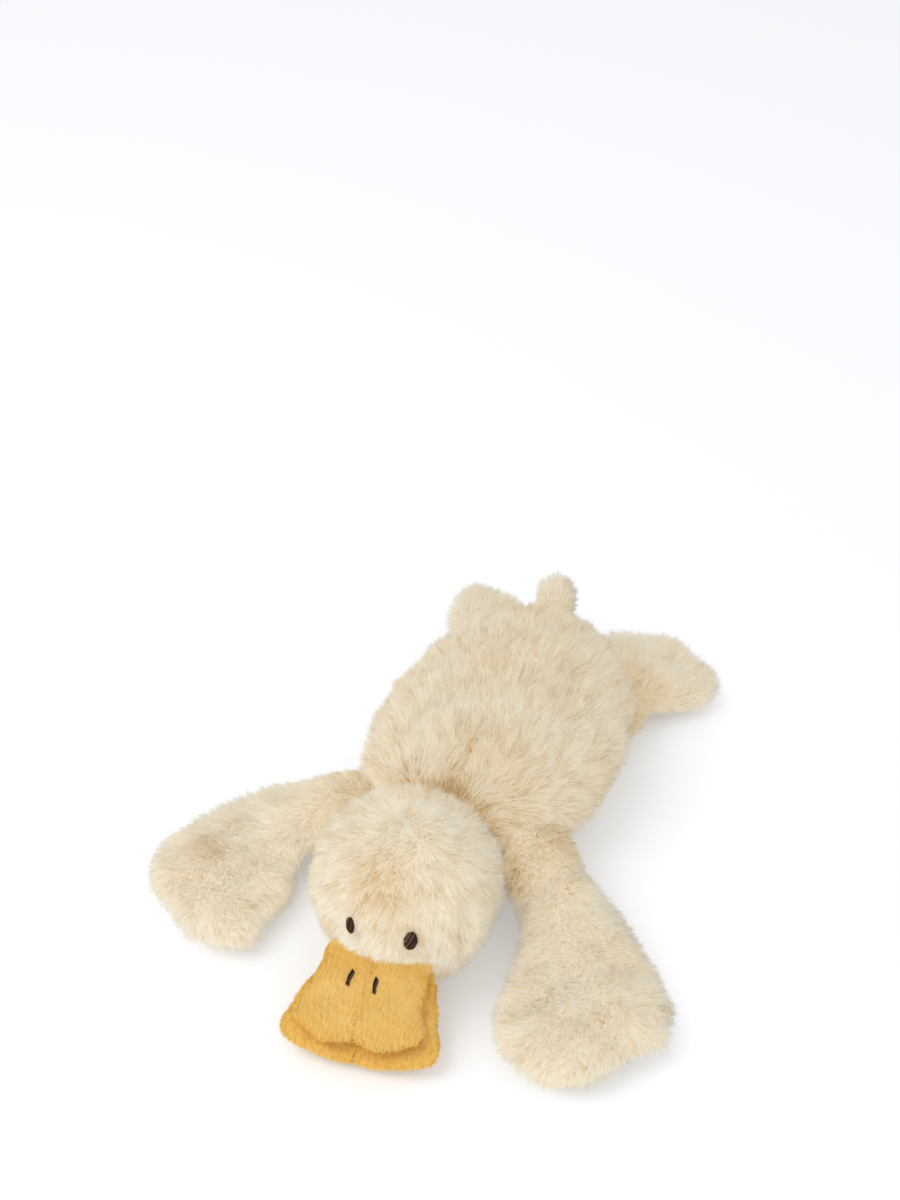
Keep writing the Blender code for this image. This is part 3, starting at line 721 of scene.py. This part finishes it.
def build_head():
    rings = egg(HEAD_SHARES, HEAD_LENGTH, HEAD_WIDTH, HEAD_HEIGHT - HEAD_CENTRE[2], HEAD_CENTRE[2] + 0.0005,
                HEAD_CENTRE[1] + HEAD_LENGTH / 2, HEAD_CENTRE[2], lambda along: ROOT_DEPTH)
    for ring in rings:
        for place, _, _ in ring:
            place[0] += HEAD_CENTRE[0]
    half = HEAD_LENGTH / 2 - ROOT_DEPTH
    head = surface("head_cover", rings, HEAD_CENTRE - (0.0, half, 0.0), HEAD_CENTRE + (0.0, half, 0.0), 3)
    points, away = places(head), normals(head)
    sink = pit(points, HEAD_CENTRE + np.array((0.0, 0.020, 0.048)), 0.010, 0.0010)
    sink += waves(points, 0.030, 21) * 0.0007
    points = shoved(points - away * sink[:, None], HEAD_SHOVES)
    points = hollow(points, away, NECK, NECK_RADIUS + SEAT_GAP)
    move_to(head, points)
    dress(head, BACKING, "head", ("head_skin", "head_stuffing"))
    whorl = HEAD_CENTRE + np.array((0.000, 0.004, 0.050))

    def density(p, facing):
        under = np.clip((facing[:, 2] + 0.80) / 0.5, 0.35, 1.0) + pit(p, whorl, 0.012, 0.6)
        neck = np.clip((np.linalg.norm(p - NECK, axis=1) - NECK_RADIUS - 0.001) / 0.002, 0.0, 1.0)
        return under * neck

    def length(p, normal, deep):
        rel = unit(p - HEAD_CENTRE)
        face = np.clip((-rel[:, 1] - 0.45) / 0.4, 0.0, 1.0) * np.clip((0.45 - rel[:, 2]) / 0.3, 0.0, 1.0)
        back = np.clip((rel[:, 1] - 0.2) / 0.4, 0.0, 1.0)
        long = 0.0098 - 0.0022 * face + 0.0020 * back
        near = np.linalg.norm(p - NECK, axis=1) - NECK_RADIUS
        return long * (0.4 + 0.6 * np.clip(near / 0.012, 0.0, 1.0))

    def comb(p, normal, ahead):
        # At the whorl the tufts lie any way
        stir = np.stack((waves(p, 0.009, 25), waves(p, 0.009, 26), np.zeros(len(p))), 1)
        return unit(p - whorl) + np.array((0.0, -0.10, -0.15)) + stir * pit(p, whorl, 0.013, 1.3)[:, None]

    def lift(p):
        return pit(p, whorl, 0.016, -12.0)

    def tone(p, normal):
        top = np.clip((p[:, 1] - HEAD_CENTRE[1]) / 0.04, 0.0, 1.0) * np.clip((p[:, 2] - 0.070) / 0.02, 0.0, 1.0)
        brow = pit(p, HEAD_CENTRE + np.array((0.0, -0.034, 0.030)), 0.018, 1.0)
        middle = pit(p, whorl, 0.014, 1.0)
        return 0.13 + 0.07 * top + 0.08 * brow - 0.15 * middle, 0.55 * brow - 0.10 * top - 0.20

    coat = Coat(head, density, length, comb, tone, seed=2, lift=lift)
    dress_fur(fur("head_fur", coat, 3.0, obstacles=(clear_of_eyes, clear_of_bill), mottle=0.07, own_tone=0.11),
              FUR, "head")


def eye_matrix(sign):
    turn, lift = math.radians(sign * 19.0 + 4.0), math.radians(11.5)
    facing = Vector((math.sin(turn) * math.cos(lift), -math.cos(turn) * math.cos(lift), math.sin(lift)))
    facing.rotate(Matrix.Rotation(math.radians(FACE_LEAN), 3, "Y"))
    radii = (HEAD_WIDTH / 2, HEAD_LENGTH / 2, HEAD_HEIGHT - HEAD_CENTRE[2])
    reach = 1.0 / math.sqrt(sum((part / radius) ** 2 for part, radius in zip(facing, radii)))
    place = Vector(HEAD_CENTRE) + facing * (reach - EYE_SINK)
    lean = Matrix.Rotation(math.radians(-sign * 12.0), 4, "Z")
    return Matrix.Translation(place) @ facing.to_track_quat("Z", "Y").to_matrix().to_4x4() @ lean


EYES = {"left": eye_matrix(1.0), "right": eye_matrix(-1.0)}


def clear_of_eyes(root, middle, tip, keep):
    """Hairs part round the stitched eyes."""
    for matrix in EYES.values():
        inverse = np.array(matrix.inverted())
        turn = np.array(matrix.to_3x3())
        for part in (root, middle, tip):
            local = part @ inverse[:3, :3].T + inverse[:3, 3]
            flat = local[:, :2] / (0.0047, 0.0068)
            reach = np.linalg.norm(flat, axis=1)
            near = (reach < 1.0) & (local[:, 2] > -0.006)
            if part is root:
                keep = keep & ~(near & (reach < 0.62))
                continue
            grow = (np.where(near, np.maximum(1.0 / np.maximum(reach, 0.15), 1.0), 1.0) - 1.0)[:, None]
            shift = np.zeros_like(local)
            shift[:, :2] = local[:, :2] * grow * 0.92
            part += shift @ turn.T
    return root, middle, tip, keep


def build_eye(side):
    """Satin stitch: threads laid side by side across a padded oval."""
    wide, high = (1.0, 1.0) if side == "left" else (0.66, 0.84)
    matrix = EYES[side] @ Matrix.Diagonal((wide, high, 1.0, 1.0))
    rng = np.random.default_rng(5 if side == "left" else 6)
    shape = bmesh.new()
    rows = 8
    slant = math.radians(62.0)
    for row in range(rows):
        place = (row + 0.5) / rows * 2.0 - 1.0
        half = math.sqrt(1.0 - place * place)
        bow = rng.uniform(0.93, 1.05)
        along = np.array((math.cos(slant), math.sin(slant)))
        over = np.array((-along[1], along[0]))
        line = []
        for step in range(9):
            share = step / 8 * 2.0 - 1.0
            flat = over * place + along * (half * share * bow)
            height = 0.0021 * math.sqrt(max(1.0 - (flat @ flat) * 0.98, 0.02)) - 0.0001
            line.append(Vector((flat[0] * 0.0037, flat[1] * 0.0059, height)))
        tube(shape, line, 0.00062, 6, rng.uniform(0.0, 1.0))
    bmesh.ops.create_uvsphere(shape, u_segments=20, v_segments=10, radius=1.0,
                              matrix=Matrix.Diagonal((0.0034, 0.0056, 0.0013, 1.0)))
    stitched(shape, side + "_eye", matrix)


def stitched(shape, node, matrix):
    """Stitches on the face, as the piece that replaces a node."""
    mesh = bpy.data.meshes.new(node + "_stitches")
    shape.to_mesh(mesh)
    shape.free()
    mesh.transform(matrix)
    mesh.shade_smooth()
    dress(added(node + "_stitches", mesh), THREAD, "head", (node,))


def tube(shape, line, radius, sides, shade):
    """A closed tube along points, rounded off at both ends, with its own lightness of thread, a painted satin
    highlight.
    """
    layer = shape.verts.layers.float_color.get("thread") or shape.verts.layers.float_color.new("thread")
    loops = []
    count = len(line)
    for index, point in enumerate(line):
        way = (line[min(index + 1, count - 1)] - line[max(index - 1, 0)]).normalized()
        side = way.orthogonal().normalized()
        up = way.cross(side)
        thin = radius * (0.45 if index in (0, count - 1) else 1.0)
        loops.append([shape.verts.new(point + (side * math.cos(TAU * k / sides) + up * math.sin(TAU * k / sides))
                                      * thin) for k in range(sides)])
    for loop in loops:
        for vert in loop:
            vert[layer] = (shade, shade, shade, 1.0)
    for near, far in zip(loops, loops[1:]):
        # Frames may turn between points, so each loop starts at the corner nearest to the last one's
        start = min(range(sides), key=lambda k: (far[k].co - near[0].co).length)
        far[:] = far[start:] + far[:start]
        for k in range(sides):
            after = (k + 1) % sides
            shape.faces.new((near[k], near[after], far[after], far[k]))
    shape.faces.new(loops[0][::-1])
    shape.faces.new(loops[-1])


# Bill

BILL_MATRIX = Matrix.Translation(BILL_BASE) @ Matrix.Rotation(math.radians(FACE_LEAN), 4, "Y") @ Matrix.Rotation(
    math.radians(BILL_PITCH), 4, "X")
BILL_TREES = []
# Each nap's look, length, hairs per square millimetre, hair width and seed
NAPS = {
    "upper_bill": (YELLOW_NAP, 0.0014, 4.8, 0.00032, 8),
    "lower_bill": (MUSTARD_NAP, 0.0026, 3.4, 0.00040, 9),
}


def build_bill():
    for name, sizes, height, turn, shares, notch, dish, look, slot in (
        ("upper_bill", (0.059, 0.073, 0.017), 0.0050, 5.0, UPPER_SHARES, -0.003, 0.0, YELLOW, "yellow_velour"),
        ("lower_bill", (0.062, 0.089, 0.018), -0.0054, 6.0, LOWER_SHARES, 0.0, 0.98, MUSTARD, "mustard_velour"),
    ):
        length, width, thickness = sizes
        rings = limb(length, 0.0, width, thickness, (180.0 - turn,) * 2, (height,) * 2, shares, notch, 0.005,
                     dish, depth=lambda along: 0.0004, power=0.95 if dish == 0.0 else 0.85)
        cover = surface(name + "_cover", rings, "flat", "flat", 4, BILL_MATRIX)
        points, away = places(cover), normals(cover)
        inverse = np.array(BILL_MATRIX.inverted())
        local = points @ inverse[:3, :3].T + inverse[:3, 3]
        heading = math.radians(180.0 - turn)
        across = local[:, :2] @ np.array((-math.cos(heading), math.sin(heading)))
        if name == "upper_bill":
            # The middle seam draws the cushion in
            top = local[:, 2] > height - 0.004
            sink = np.exp(-(across / 0.0011) ** 2) * 0.0011 * top + np.exp(-(across / 0.006) ** 2) * 0.0011 * top
        else:
            sink = np.exp(-(across / 0.0010) ** 2) * 0.0009
        sink = sink + waves(points, 0.011, 31) * 0.00022 + waves(points, 0.028, 32) * 0.0003
        move_to(cover, points - away * sink[:, None])
        dress(cover, look, "head", (name + "_skin", name + "_stuffing"))
        tree = BVHTree.FromObject(cover, bpy.context.evaluated_depsgraph_get())
        BILL_TREES.append(tree)
        build_nap(name, cover, heading, NAPS[name])


def build_nap(name, cover, heading, nap):
    """The short pile that the velour stands in: it lies towards the bill's tip."""
    look, long, per_mm2, width, seed = nap
    turn = np.array(BILL_MATRIX.to_3x3())
    base = np.array(BILL_MATRIX.translation)

    def from_seam(local):
        return np.abs(local[:, :2] @ np.array((-math.cos(heading), math.sin(heading))))

    def density(p, facing):
        local = (p - base) @ turn
        seam = np.clip(from_seam(local) / 0.0005 - 0.4, 0.25, 1.0)
        return seam * np.clip((-local[:, 1] - 0.006) / 0.002, 0.0, 1.0) * np.clip(
            (facing @ turn[:, 2] + 1.0) / 0.5, 0.15, 1.0)

    def length(p, normal, deep):
        return np.full(len(p), long)

    def comb(p, normal, ahead):
        sway = np.stack((waves(p, 0.008, seed), waves(p, 0.007, seed + 1), np.zeros(len(p))), 1)
        return ahead - turn[:, 2] * 0.1 + sway * 0.3

    def tone(p, normal):
        local = (p - base) @ turn
        grain = np.clip(waves(local * (1.0, 0.32, 0.6), 0.0018, seed + 2), -1.2, 0.8)
        warmer = np.clip(1.0 + local[:, 1] / 0.030, 0.0, 1.0) * 0.75 + waves(p, 0.02, seed + 3) * 0.1
        seam = np.exp(-(from_seam(local) / 0.0006) ** 2)
        if name == "upper_bill":
            # Painted shade: the cushion's pile is darker where its sides turn under
            crease_shade = np.clip(-(normal @ turn[:, 2]) / 0.4, 0.0, 1.0)
        else:
            # The rim's pile is deep in shade where the cushion lies on it
            gaps = np.array([BILL_TREES[0].find_nearest(Vector(point))[3] for point in p])
            crease_shade = np.exp(-(gaps / 0.0016) ** 2)
        return grain * 0.31 - 0.04 + 0.55 * crease_shade + 0.60 * seam, warmer + 0.4 * crease_shade + 0.4 * seam

    coat = Coat(cover, density, length, comb, tone, seed=seed)
    pieces = fur(name + "_nap", coat, per_mm2, width=width, clump=0.0010, lean=(30.0, 62.0), gather=0.28,
                 shortest=0.0004, mottle=0.05, own_tone=0.08)
    dress_fur(pieces, look, "head")


def clear_of_bill(root, middle, tip, keep):
    """Hairs at the face lie on the bill instead of running into it."""
    near = np.linalg.norm(root - (BILL_BASE + np.array((0.0, 0.002, 0.0))), axis=1) < 0.058
    inside_root = np.zeros(len(root), bool)
    for part, gap in ((root, 0.0), (middle, 0.0006), (tip, 0.0012)):
        for index in np.flatnonzero(near):
            point = Vector(part[index])
            for tree in BILL_TREES:
                place, normal, _, away = tree.find_nearest(point)
                under = (point - place).dot(normal)
                if under < gap and away < 0.02:
                    if part is root:
                        inside_root[index] = True
                        break
                    point = place + normal * gap
            if part is not root:
                part[index] = point
    return root, middle, tip, keep & ~inside_root


def build_nostril(side, sign):
    """A bar of a few long stitches, drawn into the pile."""
    shape = bmesh.new()
    top = 0.0050 + 0.017 / 2
    for row, (offset, start, end) in enumerate(((-0.00060, -0.0047, 0.0050), (0.00055, -0.0052, 0.0044))):
        line = []
        for step in range(11):
            share = step / 10
            y = start + (end - start) * share
            x = 0.0076 - 0.0020 * share if sign > 0.0 else -0.0078
            line.append(Vector((x + offset + 0.0002 * math.sin(share * 9 + row), 0.032 - 0.057 + y,
                                top - 0.0003 + 0.0006 * math.sin(math.pi * share) ** 0.5)))
        tube(shape, line, 0.00060, 8, 0.1 + 0.4 * row)
    stitched(shape, side + "_nostril", BILL_MATRIX)


# Limbs

def limb_depth(along):
    return SEAM_DEPTH + (ROOT_DEPTH - SEAM_DEPTH) * ease(min(along / 0.30, 1.0))


def build_limb(name, body, place, radius, sizes, headings, heights, shares, lobe, end_round, seed,
               tilt=0.0, deep=1.0, per_mm2=2.8, long=0.0098, shaded_dents=(), shoves=(), pale=0.0):
    length, root_width, width, thickness = sizes
    rings = limb(length, root_width, width, thickness, headings, heights, shares, lobe, end_round,
                 radius=radius, depth=lambda along: limb_depth(along) * deep)
    back = spine(0.0, headings, (0.0, 0.0), 0.0)[1] * -(radius - SEAM_DEPTH) * BALL_SWELL
    matrix = Matrix.Translation(place) @ Matrix.Rotation(math.radians(tilt), 4, "X")
    cover = surface(name + "_cover", rings, back, "flat", 3, matrix)
    points, away = places(cover), normals(cover)
    turn = np.array(matrix.to_3x3())
    spots = []
    for along, side, size, depth, dent_shade in shaded_dents:
        middle, ahead = spine(length, headings, heights, along)
        across = np.cross(ahead, (0.0, 0.0, 1.0))
        spot = turn @ (middle + across * side * width / 2 + np.array((0.0, 0.0, thickness / 2 - 0.003))) + place
        spots.append((spot, size, depth, dent_shade))
    sink = waves(points, 0.030, seed + 40) * 0.0006
    for spot, size, depth, _ in spots:
        sink = sink + pit(points, spot, size, depth)
    move_to(cover, shoved(points - away * sink[:, None], shoves))
    dress(cover, BACKING, body, (name + "_skin", name + "_stuffing"))
    middle_line = shoved(np.array([turn @ spine(length, headings, heights, share)[0] + place
                                   for share in np.linspace(0.0, 1.0, 25)]), shoves)
    spots = [(shoved(spot[None], shoves)[0], *rest) for spot, *rest in spots]

    def density(p, facing):
        under = np.clip((facing[:, 2] + 0.75) / 0.5, 0.30, 1.0)
        free = np.clip((np.linalg.norm(p - place, axis=1) - radius * 0.45) / 0.002, 0.0, 1.0)
        inside = np.clip(beyond_body(p) / 0.003 + 1.0, 0.0, 1.0)
        return under * free * inside

    def hair_length(p, normal, deep_here):
        full = np.maximum(long * (deep_here / (ROOT_DEPTH * deep)) + 0.0008, long * 0.66)
        return full * np.where(normal[:, 2] < -0.6, 0.75, 1.0)

    def comb(p, normal, ahead):
        gap = np.linalg.norm(p[:, None, :] - middle_line[None], axis=2)
        across = np.cross(ahead, turn @ np.array((0.0, 0.0, 1.0)))
        side = ((p - middle_line[gap.argmin(1)]) * across).sum(1) / (width / 2)
        flare = side * np.minimum(np.abs(side), 1.0)
        return ahead * 0.75 + across * flare[:, None] * 1.2 + np.array((0.0, 0.0, -0.15))

    def tone(p, normal):
        # Painted shade in the dents: the fur there is darker and warmer
        dent_shade = sum((pit(p, spot, size * 1.15, 1.0) * shade for spot, size, _, shade in spots), np.zeros(len(p)))
        root = np.clip(1.0 - np.linalg.norm(p - place, axis=1) / (radius * 1.9), 0.0, 1.0)
        shade = head_shade(p)
        # Painted shade: the fur is deeper and warmer where the limb comes out of the body and near the head's
        # edge; near the ball it is paler, painted light against the shade there, and warmer
        seam = np.exp(-(np.maximum(beyond_body(p) - 0.003, 0.0) / 0.010) ** 2)
        return (0.42 * dent_shade - 0.06 * root + 0.42 * shade + 0.24 * seam - pale - 0.09,
                0.80 * dent_shade + 0.40 * root + 0.55 * shade + 0.35 * seam - pale)

    coat = Coat(cover, density, hair_length, comb, tone, seed=seed)
    dress_fur(fur(name + "_fur", coat, per_mm2), FUR, body)


def beyond_body(points):
    """How far each point is outside the body's egg, roughly."""
    centre = np.array((0.0, BODY_REAR - BODY_LENGTH / 2, BODY_MIDDLE))
    radii = np.array((BODY_WIDTH / 2, BODY_LENGTH / 2, BODY_HEIGHT - BODY_MIDDLE))
    reach = np.linalg.norm((points - centre) / radii, axis=1)
    return (reach - 1.0) * 0.06


def build_limbs():
    wing = (0.042, 0.097, 0.036)
    heights = (0.0, 0.036 / 2 - SINK - SHOULDER_HEIGHT)
    for name, sign, length, headings, seed, shaded_dents, shoves in (
        ("left_wing", 1, 0.164, (135.0, 175.0), 3,
         ((0.76, -0.20, 0.004, 0.0020, 0.6), (0.93, -0.33, 0.003, 0.0014, 0.5), (0.70, 0.50, 0.005, 0.0014, 0.3)),
         (((0.088, -0.090), 0.035, (-0.006, -0.002)), ((0.106, -0.203), 0.020, (-0.004, -0.008)),
          ((0.150, -0.196), 0.020, (-0.005, 0.015)))),
        ("right_wing", -1, 0.149, (-108.0, -219.0), 4,
         ((0.62, 0.15, 0.006, 0.0020, 0.55), (0.86, 0.25, 0.004, 0.0014, 0.35)),
         (((-0.050, -0.146), 0.030, (-0.015, 0.000)), ((-0.140, -0.200), 0.030, (0.019, 0.010)),
          ((-0.138, -0.150), 0.030, (-0.005, 0.003)), ((-0.076, -0.186), 0.022, (0.012, -0.006)))),
    ):
        build_limb(name, name, np.array((sign * SHOULDER_OUT, -SHOULDER_AHEAD, SHOULDER_HEIGHT)),
                   SHOULDER_RADIUS, (length, *wing), headings, heights, WING_SHARES, 0.004, 0.014, seed,
                   shaded_dents=shaded_dents, shoves=shoves)
    foot = (0.079, 0.033, 0.084, 0.030)
    heights = (0.0, 0.030 / 2 - SINK - HIP_HEIGHT)
    for name, sign, headings, seed, shaded_dents, shoves in (
        ("left_leg", 1, (20.0, 8.0), 5,
         tuple((0.96 - 0.08 * step, side * (1.0 - 0.1 * step), 0.0026, 0.0028, 0.5)
               for side in (-0.36, 0.30) for step in range(3)),
         (((0.070, 0.135), 0.060, (-0.013, 0.003)), ((0.100, 0.116), 0.026, (0.003, -0.014)),
          ((0.052, 0.142), 0.018, (0.000, -0.004)), ((0.076, 0.098), 0.018, (0.006, -0.004)),
          ((0.073, 0.062), 0.018, (0.005, -0.010)))),
        ("right_leg", -1, (-24.0, 40.0), 6,
         tuple((0.96 - 0.08 * step, side * (1.0 - 0.1 * step), 0.0026, 0.0022, 0.4)
               for side in (-0.30, 0.36) for step in range(3)),
         (((-0.080, 0.118), 0.050, (0.014, 0.002)),)),
    ):
        build_limb(name, name, np.array((sign * HIP_OUT, HIP_BEHIND, HIP_HEIGHT)), HIP_RADIUS, foot, headings,
                   heights, LEG_SHARES, 0.003, 0.018, seed, shaded_dents=shaded_dents, long=0.0088, shoves=shoves)
    build_limb("tail", "tail", TAIL_ROOT, TAIL_RADIUS, (0.030, 0.021, 0.026, 0.016), (0.0, 0.0), (0.0, 0.0),
               TAIL_SHARES, 0.0, 0.008, 7, tilt=62.0, deep=0.6, long=0.0056, pale=0.16,
               shoves=(((0.0, 0.112), 0.020, (0.004, -0.004)),))


# Stage

def looked_at(tree):
    """1 where the eye or a mirror looks, and 0 for all other light."""
    path = tree.nodes.new("ShaderNodeLightPath")
    seen = tree.nodes.new("ShaderNodeMath")
    seen.operation = "MAXIMUM"
    tree.links.new(path.outputs["Is Camera Ray"], seen.inputs[0])
    tree.links.new(path.outputs["Is Glossy Ray"], seen.inputs[1])
    return seen.outputs[0]


def build_stage():
    mesh = bpy.data.meshes.new("floor")
    shape = bmesh.new()
    bmesh.ops.create_grid(shape, x_segments=1, y_segments=1, size=6.0)
    shape.to_mesh(mesh)
    shape.free()
    floor = added("floor", mesh)
    made, tree, shader = material("white_paper", roughness=0.9, specular=0.0)
    shader.inputs["Base Color"].default_value = (0.865, 0.878, 0.905, 1.0)
    shader.inputs["Emission Color"].default_value = (1.0, 1.0, 1.0, 1.0)
    glow = tree.nodes.new("ShaderNodeMath")
    glow.operation = "MULTIPLY"
    glow.inputs[1].default_value = 0.13
    tree.links.new(looked_at(tree), glow.inputs[0])
    tree.links.new(glow.outputs[0], shader.inputs["Emission Strength"])
    mesh.materials.append(made)

    world = bpy.data.worlds.new("studio")
    bpy.context.scene.world = world
    world.use_nodes = True
    nodes, links = world.node_tree.nodes, world.node_tree.links
    background = nodes["Background"]
    background.inputs["Color"].default_value = (1.0, 1.0, 1.0, 1.0)
    strength = nodes.new("ShaderNodeMapRange")
    strength.inputs["To Min"].default_value = 0.82
    strength.inputs["To Max"].default_value = 1.0
    links.new(looked_at(world.node_tree), strength.inputs["Value"])
    links.new(strength.outputs["Result"], background.inputs["Strength"])

    for name, place, size, power in (
        ("key", (-0.75, -0.55, 1.3), 1.0, 6.5),
        ("front", (0.55, -1.6, 0.75), 1.8, 5.0),
    ):
        lamp = bpy.data.lights.new(name, "AREA")
        lamp.shape = "DISK"
        lamp.size = size
        lamp.energy = power
        light = added(name, lamp)
        light.location = place
        light.rotation_euler = (Vector((0.0, -0.05, 0.04)) - Vector(place)).to_track_quat("-Z", "Y").to_euler()

    camera_data = bpy.data.cameras.new("camera")
    camera_data.lens = 78.0
    camera_data.sensor_width = 36.0
    camera = added("camera", camera_data)
    camera.location = (0.389, -1.0932, 1.0482)
    camera.rotation_euler = (math.radians(52.0), 0.0, math.radians(21.0))
    bpy.context.scene.camera = camera
    bpy.context.scene.view_settings.view_transform = "Standard"


build_stage()
build_body()
build_bill()
build_head()
for side_name, side_sign in (("left", 1.0), ("right", -1.0)):
    build_eye(side_name)
    build_nostril(side_name, side_sign)
build_limbs()
